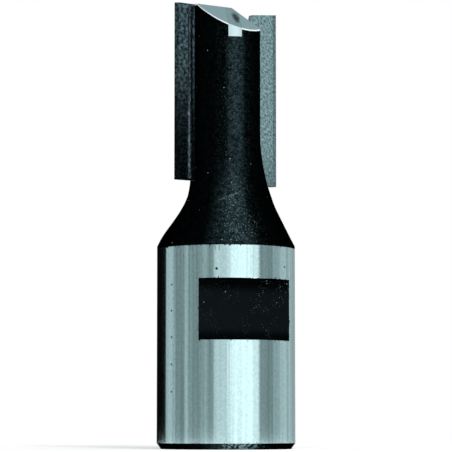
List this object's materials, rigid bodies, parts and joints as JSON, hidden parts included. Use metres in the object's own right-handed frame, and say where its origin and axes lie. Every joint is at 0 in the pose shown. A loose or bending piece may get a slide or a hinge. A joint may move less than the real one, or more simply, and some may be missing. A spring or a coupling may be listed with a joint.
{
  "type": "router bit",
  "caption": "Straight router bit: plain cylindrical shank with a clamping recess, flared neck, and a fluted core with brazed carbide cutting plates and a plunge tip.",
  "frame": {"origin": "centre of the shank's flat end face, on the tool's axis", "axes": "+Z along the tool's axis towards the cutting end; +X along the cutting plates, towards the one whose inner corner is ground back"},
  "size_m": [0.02, 0.02, 0.0642],
  "materials": {
    "body_steel": "ground",
    "carbide": "ground",
    "silver_braze": "satin"
  },
  "bodies": {
    "root": {"tool_body": "body_steel", "right_cutting_plate": "carbide", "left_cutting_plate": "carbide", "plunge_tip": "carbide", "right_plate_braze": "silver_braze", "left_plate_braze": "silver_braze", "plunge_tip_braze": "silver_braze"}
  },
  "joints": []
}
